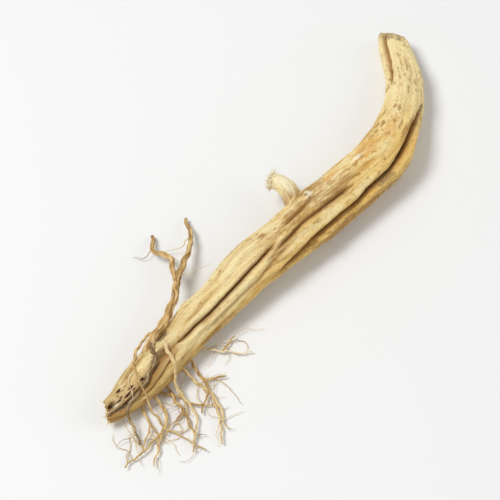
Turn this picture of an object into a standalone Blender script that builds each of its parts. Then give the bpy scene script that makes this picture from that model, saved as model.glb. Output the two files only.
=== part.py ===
"""White behen root, dried: one stout tap root lying on a surface.

The long limb runs from a torn, tapering tail to a bend, where the root hooks round to its blunt
crown end. Furrows run along it, a side root is broken off short on the far flank, and thin
rootlets spread from the tail over the surface. It is all one grown piece, so it is one object.

+X points along the limb from tail to bend, +Y to the hook's inner side and +Z up. The origin is
under the middle of the whole root, on the surface that it lies on. A place on the tap root is
given by its run, the distance from the tail along the spine, and by an angle round the section:
0 is the far flank, 90 the top, 180 the near flank and 270 the underside.
"""
import math
import random

import bmesh
import bpy
import numpy as np
from mathutils import Matrix, Vector, noise

MM = 0.001

RINGS = 102
AROUND = 36
COLUMN_START = 5  # degrees, so that the long crack on top lies on a column of points
HEIGHT_SHARE = 0.94  # a section is a little lower than it is wide
ORIGIN_SHIFT = (-1.0 * MM, 6.1 * MM)  # from the spine's own zero to the middle of the whole root

# The spine from the tail to the crown: x, y, clearance of the underside, half width, in millimetres.
# Where the clearance is below zero the underside is worn to a small flat spot that the root rests on.
SPINE = (
    (-56.0, -7.0, 1.2, 2.6),
    (-51.5, -7.5, 0.4, 3.5),
    (-43.0, -7.5, -0.5, 4.7),
    (-35.0, -7.0, -0.5, 4.6),
    (-27.0, -6.5, 0.1, 4.8),
    (-19.0, -6.5, 0.6, 5.0),
    (-8.5, -6.5, 0.9, 5.6),
    (1.0, -7.5, 0.9, 5.9),
    (13.0, -8.5, 0.4, 6.2),
    (23.5, -9.0, -0.5, 6.2),
    (35.0, -9.0, -0.5, 6.3),
    (46.5, -4.5, 0.4, 5.0),
    (54.0, 1.0, 0.2, 4.6),
    (57.5, 5.0, -0.4, 4.2),
    (60.5, 9.0, -0.4, 3.9),
    (62.5, 11.5, 0.0, 3.6),
)
TANGENT_REACH = 2 * MM

# The grain: how many degrees the strands have turned round the root at each run. All the angles
# below are counted along the grain.
GRAIN = (
    (0, 0), (12, -4), (20, -8), (27, 0), (33, 3), (48, -3), (58, -18), (70, -25), (84, -30),
    (98, -27), (107, -13), (128, -10),
)

# Furrows: course as (run, angle) pairs, depth and half width in millimetres.
FURROWS = (
    # the long crack along the top, and its shallow end past the knot
    (((19, 113), (27, 115), (40, 116), (52, 115), (57, 110)), 1.8, 0.75),
    (((56, 105), (61, 97), (66, 95), (71, 93)), 0.8, 0.9),
    # the wide hollow that the crack opens into at the tail
    (((0, 152), (9, 132), (13, 115), (17, 108), (24, 112)), 1.3, 1.9),
    # the deep furrow on the near side, which sets off a thin rib
    (((45, 186), (59, 183), (65, 177), (70, 175), (79, 174), (86, 170), (98, 166), (108, 166)), 2.0, 0.85),
    # the shallow one between the two, and a short one at the tail
    (((51, 128), (62, 127), (68, 129), (74, 133), (80, 140)), 0.9, 1.0),
    (((5, 164), (11, 153), (15, 138), (23, 132)), 0.6, 0.6),
    # the groove down the hook's inner side, which gives the crown two lobes
    (((108, 54), (116, 57), (130, 56)), 1.1, 0.8),
    # far flank, underside and the hook's outer side
    (((4, -7), (30, -4), (55, -3), (82, -6)), 1.1, 1.0),
    (((26, 227), (60, 224), (98, 226)), 1.3, 1.1),
    (((97, 214), (113, 216), (130, 214)), 0.9, 0.9),
    (((90, 17), (104, 14), (117, 15)), 0.9, 0.9),
    (((73, 58), (88, 54), (104, 50)), 0.6, 0.9),
    # faint ones beside the crack and on the hook
    (((26, 146), (46, 145), (64, 144)), 0.5, 0.9),
    (((24, 85), (42, 86), (60, 84)), 0.4, 0.9),
    (((97, 125), (110, 125), (123, 126)), 0.4, 0.9),
)
FURROW_FADE = 6 * MM
# A furrow's section: a wide valley, a narrow cleft at its foot, and a low lip on either side.
VALLEY_SHARE, CLEFT_SHARE, CLEFT_WIDTH = 0.6, 0.4, 0.45
LIP_SHARE, LIP_PLACE, LIP_WIDTH = 0.12, 1.9, 0.8

# Knots: run, angle, height and radius in millimetres; a height below zero is a pit.
KNOTS = (
    (58, 106, 0.5, 1.6),
    (68, 83, 0.9, 1.3),
    (84, 100, 0.4, 1.5),
    (30, 20, 0.5, 2.2),
    (93, 188, 0.5, 2.0),
    (112, 132, -0.3, 1.4),
    (45, 66, 0.3, 2.4),
    (100, 105, 0.3, 3.0),
    (66, 212, 0.5, 2.2),
    (7, 72, -0.6, 1.0),
)

# Uneven growth: how much, the run over which it changes, how fast it changes round the root, and
# where in the noise it is read. Swelling and strands are shares of the half width.
SWELLING = (0.07, 17 * MM, 1.1, Vector((0, 0, 4)))
STRANDS = (0.05, 26 * MM, 3.1, Vector((7, 0, 0)))
WRINKLES = (0.3 * MM, 7 * MM, 5.5, Vector((0, 0, -9)))

# Both ends are torn aslant: how much further the far flank reaches, and the run over which that fades.
TAIL_SLANT = -1.1 * MM
CROWN_SLANT = 1.5 * MM
RAGGED_TAIL = 0.8 * MM
RAGGED_CROWN = 0.4 * MM
SLANT_REACH = 9 * MM
RIM_PACE = 3  # how fast a ragged rim changes round it
ROOT_RIM, STUB_RIM = 20, 2  # where in the noise each is read

# Rings that close each end, as the share of the rim's size and how far out each stands.
TAIL_PROFILE = ((0.86, 0.3 * MM), (0.68, -0.7 * MM), (0.45, -1.6 * MM), (0.2, -1.9 * MM))
CROWN_PROFILE = ((0.93, 0.7 * MM), (0.76, 1.25 * MM), (0.5, 1.3 * MM), (0.22, 0.9 * MM))
STUB_PROFILE = ((0.7, -0.5 * MM), (0.35, 0.2 * MM))

# Broken side root: centres and the radius at each, flaring into the tap root, in millimetres.
STUB = (
    (9.6, -9.0, 6.6, 3.2),
    (9.9, -5.0, 7.0, 2.8),
    (11.0, -2.0, 7.5, 2.3),
    (12.0, 0.6, 7.7, 2.1),
    (12.1, 3.2, 7.5, 2.0),
    (11.4, 5.2, 7.3, 1.8),
)
STUB_SIDES = 14
STUB_UNEVEN = 0.1
STUB_RAGGED = 0.7 * MM

# The slender side root that leaves the tail's far flank, and its fork, in the same way.
SIDE_ROOT = (
    (-44.0, -5.6, 5.0, 0.9),
    (-38.5, -3.4, 7.2, 1.1),
    (-33.5, -2.4, 7.6, 1.1),
    (-28.5, -0.6, 7.2, 1.0),
    (-24.0, 2.4, 6.2, 0.95),
    (-20.0, 5.2, 5.2, 0.85),
    (-15.5, 7.0, 4.2, 0.75),
    (-10.5, 10.6, 2.8, 0.6),
    (-7.0, 15.6, 1.2, 0.45),
)
SIDE_ROOT_FORK = (
    (-23.0, 3.2, 5.9, 0.6),
    (-20.6, 6.4, 5.1, 0.75),
    (-18.4, 10.2, 4.2, 0.7),
    (-19.0, 14.4, 2.6, 0.6),
    (-15.6, 18.0, 1.0, 0.45),
)

# Rootlets that creep over the tail: (run, angle, lift off the surface) along the tap root, then the
# heading that each goes on along, its further length and its thickness, in degrees and millimetres.
CREEPERS = (
    (((23, 58, -0.6), (19, 94, 0.3), (17.8, 127, 0.3), (16.6, 151, 0.4), (15.4, 183, 0.5)), 230, 18, 1.2),
    # down the tail's hollow
    (((20, 44, -0.5), (17, 65, 0.2), (14.8, 95, 0.3), (9.4, 124, 0.4), (4.1, 152, 0.4)), 218, 10, 1.5),
    # out beside the far flank, and back over the tail
    (((24, 48, -0.5), (19, 29, 1.8), (12, 43, 0.4), (9.4, 90, 0.3), (8.2, 161, 0.4)), 225, 20, 0.9),
)

# Free rootlets: run and angle where each grows, its heading, length and thickness.
ROOTLETS = (
    (22, 213, 262, 15, 1.1),
    (19, 204, 296, 21, 1.1),
    (14, 220, 250, 17, 1.0),
    (10, 206, 240, 22, 1.1),
    (7, 238, 226, 12, 0.9),
    (12, 228, 283, 15, 0.9),
    (26, 230, 312, 12, 0.9),
)
SEED = 11  # of the ragged stub and the wandering rootlets
ROOTLET_STARTS = (-1.6 * MM, -0.2 * MM, 1.0 * MM)  # lift of a rootlet's first points
ROOTLET_STEP = 1.7 * MM
ROOTLET_WANDER = 24  # most degrees that a rootlet turns at one step
ROOTLET_DROP = 0.75  # how far it sinks at a step, as a share of the step
ROOTLET_BUCKLE = 0.5 * MM  # most that it arches up again
CLEARANCE = 0.35 * MM  # between a rootlet and the surface that the root lies on
TIP_SHARE = 0.6
SHOOT_TURN = 50
SHOOT_LENGTH = 0.45
SHOOT_THICKNESS = 0.8

BARK_COLOUR = (0.74, 0.57, 0.28, 1)
BARK_ROUGHNESS = 0.8
SHARP_ANGLE = 50  # degrees between faces, from which an edge is shaded sharp
WELD = 0.001 * MM  # points closer than this are one


def clear_scene():
    for found in list(bpy.data.objects):
        bpy.data.objects.remove(found, do_unlink=True)


def smooth_curve(rows, steps=24):
    """Rows on the smooth curve that passes through the given rows."""
    rows = np.array(rows, float)
    padded = np.vstack([2 * rows[0] - rows[1], rows, 2 * rows[-1] - rows[-2]])
    found = []
    for number in range(1, len(padded) - 2):
        before, start, end, after = padded[number - 1:number + 3]
        for share in np.arange(steps) / steps:
            found.append(0.5 * (
                2 * start + (end - before) * share
                + (2 * before - 5 * start + 4 * end - after) * share ** 2
                + (3 * start - before - 3 * end + after) * share ** 3
            ))
    return np.array(found + [rows[-1]])


def smooth_step(value):
    value = min(max(value, 0), 1)
    return value * value * (3 - 2 * value)


def turn_between(first, second):
    """Signed turn in degrees from one angle to another, the short way round."""
    return (first - second + 180) % 360 - 180


def rim_noise(turn, place):
    """Noise that meets itself again after a full turn round a rim."""
    return noise.noise(Vector((RIM_PACE * math.cos(turn), RIM_PACE * math.sin(turn), place)))


def across_frame(tangent):
    """The level direction across a tangent, to its left, and the one up from both."""
    side = Vector((0, 0, 1)).cross(tangent).normalized()
    return side, tangent.cross(side)


class Spine:
    """The tap root's middle line and grain, read at any run."""

    def __init__(self):
        rows = smooth_curve(SPINE) * MM
        self.half_widths = rows[:, 3]
        heights = rows[:, 3] * HEIGHT_SHARE + rows[:, 2]
        self.centres = np.column_stack([rows[:, 0], rows[:, 1], heights])
        steps = np.linalg.norm(np.diff(self.centres, axis=0), axis=1)
        self.runs = np.concatenate([[0], np.cumsum(steps)])
        self.length = self.runs[-1]
        self.grain = smooth_curve(GRAIN) * (MM, 1)

    def turn(self, run, angle):
        """The angle across the section, in radians, of an angle counted along the grain."""
        return math.radians(angle + np.interp(run, self.grain[:, 0], self.grain[:, 1]))

    def centre(self, run):
        return Vector([np.interp(run, self.runs, self.centres[:, axis]) for axis in range(3)])

    def half_width(self, run):
        return float(np.interp(run, self.runs, self.half_widths))

    def tangent(self, run):
        ahead = self.centre(min(run + TANGENT_REACH, self.length))
        return (ahead - self.centre(max(run - TANGENT_REACH, 0))).normalized()


def groove(across, half_width):
    """A furrow's depth at a distance across it, as a share of its full depth."""
    valley = math.exp(-(across / half_width) ** 2)
    cleft = math.exp(-(across / (CLEFT_WIDTH * half_width)) ** 2)
    lip = math.exp(-((abs(across) / half_width - LIP_PLACE) / LIP_WIDTH) ** 2)
    return VALLEY_SHARE * valley + CLEFT_SHARE * cleft - LIP_SHARE * lip


class Surface:
    """The tap root's surface, with its furrows, knots and uneven growth."""

    def __init__(self, spine):
        self.spine = spine
        self.furrows = [
            (smooth_curve(course) * (MM, 1), depth * MM, half_width * MM)
            for course, depth, half_width in FURROWS
        ]

    def furrow_depth(self, run, angle):
        total = 0
        for course, depth, half_width in self.furrows:
            first, last = course[0, 0], course[-1, 0]
            if not first <= run <= last:
                continue
            middle = np.interp(run, course[:, 0], course[:, 1])
            across = math.radians(turn_between(angle, middle)) * self.spine.half_width(run)
            fade_in = smooth_step((run - first) / FURROW_FADE) if first > 0 else 1
            fade_out = smooth_step((last - run) / FURROW_FADE) if last < self.spine.length else 1
            total += depth * fade_in * fade_out * groove(across, half_width)
        return total

    def knot_height(self, run, angle):
        total = 0
        for place, turn, height, radius in KNOTS:
            across = math.radians(turn_between(angle, turn)) * self.spine.half_width(run)
            distance = math.hypot(run - place * MM, across) / (radius * MM)
            total += height * MM * math.exp(-distance ** 2)
        return total

    def uneven(self, run, angle, kind):
        amount, reach, pace, offset = kind
        turn = self.spine.turn(run, angle)
        place = Vector((run / reach, pace * math.cos(turn), pace * math.sin(turn)))
        return amount * noise.noise(place + offset)

    def radius(self, run, angle):
        grown = 1 + self.uneven(run, angle, SWELLING) + self.uneven(run, angle, STRANDS)
        return (
            self.spine.half_width(run) * grown
            + self.uneven(run, angle, WRINKLES)
            + self.knot_height(run, angle)
            - self.furrow_depth(run, angle)
        )

    def point(self, run, angle, lift=0.0):
        """The surface point at a run and angle, raised off it by the lift."""
        side, up = across_frame(self.spine.tangent(run))
        turn = self.spine.turn(run, angle)
        radius = self.radius(run, angle) + lift
        across = side * math.cos(turn) + up * (math.sin(turn) * HEIGHT_SHARE)
        return self.spine.centre(run) + across * radius

    def slant(self, run, angle):
        """How far a point near an end is shifted along the root, so that the end is torn aslant."""
        turn = math.radians(angle)
        ragged = rim_noise(turn, ROOT_RIM)
        tail = RAGGED_TAIL * ragged - TAIL_SLANT * math.cos(turn)
        crown = RAGGED_CROWN * ragged + CROWN_SLANT * math.cos(turn)
        from_crown = self.spine.length - run
        return (
            tail * smooth_step(1 - run / SLANT_REACH)
            + crown * smooth_step(1 - from_crown / SLANT_REACH)
        )


def pressed_flat(point):
    """What would dip below the surface that the root lies on is flat on it."""
    return Vector((point.x, point.y, max(point.z, 0)))


def middle_of(ring):
    return sum(ring, Vector()) / len(ring)


def end_rings(rim, outward, profile):
    """Rings that close an end, shaped from its rim."""
    middle = middle_of(rim)
    return [
        [middle + (point - middle) * share + outward * distance for point in rim]
        for share, distance in profile
    ]


def loft(name, rings):
    """A closed mesh object through rings of points, the same number in each."""
    model = bmesh.new()
    loops = [[model.verts.new(pressed_flat(point)) for point in ring] for ring in rings]
    for lower, upper in zip(loops, loops[1:]):
        for number in range(len(lower)):
            after = (number + 1) % len(lower)
            model.faces.new((lower[number], lower[after], upper[after], upper[number]))
    for loop in (loops[0], loops[-1]):
        middle = model.verts.new(middle_of([vert.co for vert in loop]))
        for number in range(len(loop)):
            model.faces.new((loop[number], loop[(number + 1) % len(loop)], middle))
    bmesh.ops.recalc_face_normals(model, faces=model.faces)
    mesh = bpy.data.meshes.new(name)
    model.to_mesh(mesh)
    model.free()
    return bpy.data.objects.new(name, mesh)


def tap_root(surface):
    spine = surface.spine
    rings = []
    for run in np.linspace(0, spine.length, RINGS):
        tangent = spine.tangent(run)
        ring = []
        for angle in COLUMN_START + np.arange(AROUND) * 360 / AROUND:
            ring.append(surface.point(run, angle) + tangent * surface.slant(run, angle))
        rings.append(ring)
    tail = end_rings(rings[0], -spine.tangent(0), TAIL_PROFILE)
    crown = end_rings(rings[-1], spine.tangent(spine.length), CROWN_PROFILE)
    return loft("behen_root", tail[::-1] + rings + crown)


def stub(draw):
    """The broken side root, with a ragged end."""
    rows = smooth_curve(STUB, steps=2) * MM
    tangents = np.gradient(rows[:, :3], axis=0)
    rings = []
    for row, tangent in zip(rows, tangents):
        side, up = across_frame(Vector(tangent).normalized())
        ring = []
        for number in range(STUB_SIDES):
            turn = 2 * math.pi * number / STUB_SIDES
            radius = row[3] * (1 + STUB_UNEVEN * rim_noise(turn, STUB_RIM))
            ring.append(Vector(row[:3]) + (side * math.cos(turn) + up * math.sin(turn)) * radius)
        rings.append(ring)
    outward = Vector(tangents[-1]).normalized()
    rings[-1] = [point + outward * draw.uniform(-STUB_RAGGED, STUB_RAGGED) for point in rings[-1]]
    return loft("stub", rings + end_rings(rings[-1], outward, STUB_PROFILE))


def thread(name, points, radii):
    """A round thread along its points, as a closed mesh object."""
    curve = bpy.data.curves.new(name, "CURVE")
    curve.dimensions = "3D"
    curve.bevel_depth = MM
    curve.bevel_resolution = 1
    curve.use_fill_caps = True
    spline = curve.splines.new("POLY")
    spline.points.add(len(points) - 1)
    for target, point, radius in zip(spline.points, points, radii):
        target.co = (*point, 1)
        target.radius = radius / MM
    guide = bpy.data.objects.new(name, curve)
    bpy.context.scene.collection.objects.link(guide)
    bpy.context.view_layer.update()
    graph = bpy.context.evaluated_depsgraph_get()
    mesh = bpy.data.meshes.new_from_object(guide.evaluated_get(graph))
    bpy.data.objects.remove(guide, do_unlink=True)
    model = bmesh.new()
    model.from_mesh(mesh)
    bmesh.ops.remove_doubles(model, verts=model.verts, dist=WELD)
    bmesh.ops.recalc_face_normals(model, faces=model.faces)
    model.to_mesh(mesh)
    model.free()
    return bpy.data.objects.new(name, mesh)


def side_root():
    """The slender side root and its fork."""
    found = []
    for name, rows in (("side_root", SIDE_ROOT), ("side_root_fork", SIDE_ROOT_FORK)):
        rows = smooth_curve(rows, steps=3) * MM
        found.append(thread(name, rows[:, :3], rows[:, 3]))
    return found


def wander(points, heading, length, thickness, draw):
    """Carries a rootlet on along a heading: it sinks to the surface and turns a little at each step."""
    lowest = thickness / 2 + CLEARANCE
    points = [Vector((point.x, point.y, max(point.z, lowest))) for point in points]
    for _ in range(int(length / ROOTLET_STEP)):
        heading += draw.uniform(-ROOTLET_WANDER, ROOTLET_WANDER)
        turn = math.radians(heading)
        step = Vector((math.cos(turn), math.sin(turn), -ROOTLET_DROP)) * ROOTLET_STEP
        point = points[-1] + step
        point.z = max(lowest, point.z) + draw.uniform(0, ROOTLET_BUCKLE)
        points.append(point)
    return points


def rootlet(name, points, thickness):
    return thread(name, points, np.linspace(thickness / 2, TIP_SHARE * thickness / 2, len(points)))


def rootlets(surface, draw):
    """Every rootlet, and a side shoot on each free one."""
    found = []
    for number, (course, heading, length, thickness) in enumerate(CREEPERS):
        places = [surface.point(run * MM, angle, lift * MM) for run, angle, lift in course]
        places = [Vector(place) for place in smooth_curve(places, steps=3)]
        points = wander(places, heading, length * MM, thickness * MM, draw)
        found.append(rootlet(f"creeper_{number}", points, thickness * MM))
    for number, (run, angle, heading, length, thickness) in enumerate(ROOTLETS):
        places = [surface.point(run * MM, angle, lift) for lift in ROOTLET_STARTS]
        points = wander(places, heading, length * MM, thickness * MM, draw)
        found.append(rootlet(f"rootlet_{number}", points, thickness * MM))
        bend = heading + draw.choice((-SHOOT_TURN, SHOOT_TURN))
        slimmer = SHOOT_THICKNESS * thickness * MM
        shoot = wander([points[len(points) // 2]], bend, SHOOT_LENGTH * length * MM, slimmer, draw)
        found.append(rootlet(f"shoot_{number}", shoot, slimmer))
    return found


def join(root, growths):
    """One Boolean union of the root with everything that grows from it."""
    joined_to = bpy.data.collections.new("growths")
    bpy.context.scene.collection.children.link(joined_to)
    for growth in growths:
        joined_to.objects.link(growth)
    union = root.modifiers.new("union", "BOOLEAN")
    union.operation = "UNION"
    union.operand_type = "COLLECTION"
    union.collection = joined_to
    union.solver = "EXACT"
    bpy.context.view_layer.update()
    graph = bpy.context.evaluated_depsgraph_get()
    whole = bpy.data.meshes.new_from_object(root.evaluated_get(graph))
    root.modifiers.clear()
    root.data = whole
    for growth in growths:
        bpy.data.objects.remove(growth, do_unlink=True)
    bpy.data.collections.remove(joined_to)


def dried_root():
    material = bpy.data.materials.new("dried_root")
    material.use_nodes = True
    shader = material.node_tree.nodes["Principled BSDF"]
    shader.inputs["Base Color"].default_value = BARK_COLOUR
    shader.inputs["Roughness"].default_value = BARK_ROUGHNESS
    shader.inputs["Metallic"].default_value = 0
    return material


def main():
    clear_scene()
    surface = Surface(Spine())
    root = tap_root(surface)
    bpy.context.scene.collection.objects.link(root)
    draw = random.Random(SEED)
    join(root, [stub(draw)] + side_root() + rootlets(surface, draw))
    root.data.transform(Matrix.Translation((*ORIGIN_SHIFT, 0)))
    root.data.materials.clear()
    root.data.materials.append(dried_root())
    root.data.shade_smooth()
    root.data.set_sharp_from_angle(angle=math.radians(SHARP_ANGLE))


main()
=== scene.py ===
import math
import random

import bpy
import numpy as np
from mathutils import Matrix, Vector, noise


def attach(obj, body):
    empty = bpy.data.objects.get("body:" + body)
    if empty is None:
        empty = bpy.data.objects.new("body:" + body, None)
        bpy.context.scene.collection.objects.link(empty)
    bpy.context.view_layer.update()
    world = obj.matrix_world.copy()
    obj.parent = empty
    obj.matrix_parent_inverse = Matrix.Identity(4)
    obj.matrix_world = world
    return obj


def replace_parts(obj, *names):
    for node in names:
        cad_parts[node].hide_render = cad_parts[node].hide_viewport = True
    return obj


# Dried white behen root, lying on a pale floor. A place on the tap root is given by its run, the
# distance from the tail along the spine, and by an angle round the section, counted along the grain:
# 0 is the far flank, 90 the top, 180 the near flank and 270 the underside.

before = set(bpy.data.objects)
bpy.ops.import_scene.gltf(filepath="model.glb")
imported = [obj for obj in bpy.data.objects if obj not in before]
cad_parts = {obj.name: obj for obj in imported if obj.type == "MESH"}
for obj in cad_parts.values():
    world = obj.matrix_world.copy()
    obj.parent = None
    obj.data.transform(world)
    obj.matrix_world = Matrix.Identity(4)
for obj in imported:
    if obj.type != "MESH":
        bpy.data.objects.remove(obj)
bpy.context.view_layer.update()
mm = 0.001
print("frame loaded")

# the same tap root as in the solid, so its numbers are the solid's own, in millimetres and degrees
tapRoot = dict(
    name="tap_root", rings=440, around=200, heightShare=0.94, shift=(-1, 6.1), tangentReach=2,
    # x, y, clearance of the underside, half width
    spine=(
        (-56, -7, 1.2, 2.6), (-51.5, -7.5, 0.4, 3.5), (-43, -7.5, -0.5, 4.7), (-35, -7, -0.5, 4.6),
        (-27, -6.5, 0.1, 4.8), (-19, -6.5, 0.6, 5), (-8.5, -6.5, 0.9, 5.6), (1, -7.5, 0.9, 5.9),
        (13, -8.5, 0.4, 6.2), (23.5, -9, -0.5, 6.2), (35, -9, -0.5, 6.3), (46.5, -4.5, 0.4, 5),
        (54, 1, 0.2, 4.6), (57.5, 5, -0.4, 4.2), (60.5, 9, -0.4, 3.9), (62.5, 11.5, 0, 3.6),
    ),
    # degrees that the strands have turned at each run
    grain=(
        (0, 0), (12, -4), (20, -8), (27, 0), (33, 3), (48, -3), (58, -18), (70, -25), (84, -30),
        (98, -27), (107, -13), (128, -10),
    ),
    # course as (run, angle), depth, half width, and how much of a crack it is
    furrows=(
        (((19, 113), (27, 115), (40, 116), (52, 115), (57, 110)), 1.8, 0.75, 0.5),  # the long one on top
        (((56, 105), (61, 97), (66, 95), (71, 93)), 0.8, 0.9, 0.9),
        (((0, 152), (9, 132), (13, 115), (17, 108), (24, 112)), 1.3, 1.9, 0.3),  # the hollow at the tail
        (  # the one on the near side
            ((45, 186), (59, 183), (65, 177), (70, 175), (79, 174), (86, 170), (98, 166), (108, 166)),
            2, 0.85, 1.5,
        ),
        (((51, 128), (62, 127), (68, 129), (74, 133), (80, 140)), 0.9, 1, 0.9),
        (((5, 164), (11, 153), (15, 138), (23, 132)), 0.6, 0.6, 0.8),
        (((108, 54), (116, 57), (130, 56)), 1.1, 0.8, 0.1),  # between the crown's lobes
        (((4, -7), (30, -4), (55, -3), (82, -6)), 1.1, 1, 0.7),
        (((26, 227), (60, 224), (98, 226)), 1.3, 1.1, 0.6),
        (((97, 214), (113, 216), (130, 214)), 0.9, 0.9, 0.4),
        (((90, 17), (104, 14), (117, 15)), 0.9, 0.9, 0.4),
        (((73, 58), (88, 54), (104, 50)), 0.6, 0.9, 0.2),
        (((26, 146), (46, 145), (64, 144)), 0.5, 0.9, 0.1),
        (((24, 85), (42, 86), (60, 84)), 0.4, 0.9, 0),
        (((97, 125), (110, 125), (123, 126)), 0.4, 0.9, 0),
    ),
    furrowFade=6,
    valley=0.6, cleft=0.4, cleftWidth=0.45,
    lip=0.12, lipPlace=1.9, lipWidth=0.8,
    # run, angle, height, radius
    knots=(
        (58, 106, 0.5, 1.6), (68, 83, 0.9, 1.3), (84, 100, 0.4, 1.5), (30, 20, 0.5, 2.2),
        (93, 188, 0.5, 2), (112, 132, -0.3, 1.4), (45, 66, 0.3, 2.4), (100, 105, 0.3, 3),
        (66, 212, 0.5, 2.2), (7, 72, -0.6, 1),
    ),
    # amount, run that it changes over, pace round the root, place in the noise
    swelling=(0.07, 17, 1.1, (0, 0, 4)),
    strands=(0.05, 26, 3.1, (7, 0, 0)),
    wrinkles=(0.22, 7, 5.5, (0, 0, -9)),  # a little softer than the solid's, under the finer relief
    tailSlant=-1.1, crownSlant=1.5, raggedTail=0.8, raggedCrown=0.4, slantReach=9, raggedNoise=(3, 20),
    # share of the rim's size, and how far out
    tailProfile=((1, 0), (0.86, 0.3), (0.68, -0.7), (0.45, -1.6), (0.2, -1.9), (0, -1.9)),
    crownProfile=((1, 0), (0.93, 0.7), (0.76, 1.25), (0.5, 1.3), (0.22, 0.9), (0, 0.8)),
)

# relief that is finer than the solid's, in millimetres
relief = dict(
    seed=4,
    # depth, half width in the noise, run that it changes over, pace round the root, place in the noise
    creases=(
        (0.2, 0.13, 22, 2.4, (0, 0, 105)),
        (0.17, 0.05, 26, 3.2, (0, 0, 30)),
        (0.12, 0.06, 17, 6.2, (0, 0, 51)),
        (0.07, 0.08, 9, 12, (0, 0, 77)),
    ),
    narrow=0.1,  # only a crease narrower than this gets brown painted shade
    creaseGate=(0.4, 1.8, 11, 2.2, (5, 5, 40)),  # share that is creased, and how that changes
    creaseRich=(66, 15, 0.6),  # run, reach, and how much more is creased there
    # amount, run, pace, place
    fine=((0.1, 14, 9, (3, 0, 15)), (0.05, 3, 11, (0, 8, 21)), (0.035, 0.9, 16, (0, 2, 64))),
    rough=((0.45, 3.2, 6, (0, 3, 90)), (0.5, 0.9, 11, (2, 0, 12))),  # the ragged edges of patches and pits
    grit=(1, 0.55, 34, (0, 0, 7)), corkGrit=0.1, soilGrit=0.2,
    furrowWobble=((3.8, 6, 0, 3), (1.6, 1.9, 9, 1)), furrowApart=1.7,  # degrees, run, place in the noise
    clefts=0.35, cleftWidth=0.2,  # of a crack: how much deeper its middle is, and how wide that is
    shadeWidth=0.92, darkDepth=1,  # of a furrow's painted brown shade, and the depth at which that painted shade is full
    shadeDark=0.75, cleftDark=0.7, darkest=1.3,
    pores=220, poreSpan=(0.02, 0.99), groupSpan=(0.5, 0.97),  # shares of the root's length
    poreLength=(0.22, 0.55), poreWidth=(0.18, 0.4), poreDepth=(0.03, 0.16),
    poreGroups=42, groupSize=9, groupReach=2.8, groupScale=1.15,  # closer from the bend to the crown
    smoothHook=(88, 12, 0.6),  # run, reach, and the share of the creases that is lost from there on
    cracks=30, crackLength=(3, 12), crackWidth=(0.12, 0.22), crackDepth=(0.08, 0.24),
    crackSpan=(0.03, 0.97), crackLean=5, crackBow=4,
    # patches are run, angle, half length, half width in degrees
    patchEdge=(1.3, 1.1), flakeEdge=(0.9, 0.5, 1.6),  # where an edge ends, how soft and how ragged it is
    cork=(  # grey-brown, on the ribs and under the crown's rim
        (86, 178, 5, 8), (107, 177, 3.5, 9), (98, 192, 2.5, 8), (86, 208, 6, 12), (67.6, 90, 1.2, 10),
        (40, 205, 7, 12), (21, 55, 2.6, 12), (126.8, 80, 1.7, 80), (118, 200, 4, 14), (52, 20, 6, 14),
    ),
    soil=(  # stuck in the tail's hollow
        (21, 64, 2.4, 15), (17, 92, 3.2, 12), (12.5, 112, 3.6, 11), (7.5, 128, 3.8, 12), (3.5, 150, 3, 14),
    ),
    wash=(  # brown stains, and painted shade on the near rib, at run 74 and angle 206
        (64, 98, 12, 22), (74, 118, 10, 17), (82.5, 106, 1.3, 6), (70, 70, 6, 16), (61, 45, 7, 22),
        (30, 176, 9, 12), (98, 150, 6, 12), (10, 60, 6, 16), (74, 206, 24, 22), (20, 200, 10, 22),
        (100, 20, 9, 18),
    ),
    gloom=((56, 186, 7, 6), (65, 179, 10, 6)), gloomRagged=0.25,  # painted shade on the near furrow's darkest stretch
    blush=(  # orange stains
        (75, 80, 7, 15), (83.6, 123, 4, 9), (88, 95, 7, 30), (97, 110, 6, 18),
        (43, 168, 8, 11), (92, 60, 8, 18), (34, 176, 5, 12),
    ),
    cream=(  # paler strands
        (60, 148, 6, 10), (69, 152, 7, 11), (79, 154, 6, 9),
        (32, 146, 15, 14), (40, 95, 16, 16), (12, 80, 8, 16),
    ),
    shadedFrom=(115, 65), shadedTo=(330, 60),  # degrees: painted shade, the near flank and underside more golden than the top
    # bark that peeled: run, angle, half length, half width in degrees, height
    flakes=((83.9, 96, 1.2, 8, 0.16), (68.4, 79, 1.1, 10, 0.16), (2, 112, 0.9, 12, 0.16)),
    # pits in the torn tail: run, angle, depth, half length, half width
    pits=(
        (0.5, 97, 1.4, 1, 0.6), (4.9, 110, 0.8, 1.1, 0.28), (6.6, 99, 0.6, 0.8, 0.24),
        (2.4, 138, 0.9, 1.5, 0.36), (4.2, 72, 0.4, 0.5, 0.24), (9.4, 105, 0.4, 0.7, 0.2),
        (3.6, 98, 0.5, 0.6, 0.2),
    ),
    hole=0.3,  # pits deeper than this get near-black painted shade
    pitRagged=2.4, pitRough=(-0.35, 1),
    halo=(1.7, 0.4),  # a pore's stain: how far it reaches, in the pore's own widths, and its share
    pitLip=(1.8, 0.5, 0.2),  # a pit's pale lip: how far out, how wide, how pale
    # depth or height, in millimetres, at which each mask is full
    fullCrease=0.17, fullCrack=0.4, fullHeight=0.3, fullFlake=0.12, flakePale=0.8,
    collar=(66.8, 41, 0.7, 3.4),  # bark drawn up round the broken side root: run, angle, height, radius
)

tornEnd = dict(
    rings=14, innermost=0.06,
    waves=((0.55, 3.4, 0), (0.3, 9, 5)),  # height, pace, place in the noise
    rim=0.12, cut=0.15, barkFade=0.3,  # shares of the way in: the waves' start, bare wood, the bark's end
)

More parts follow.
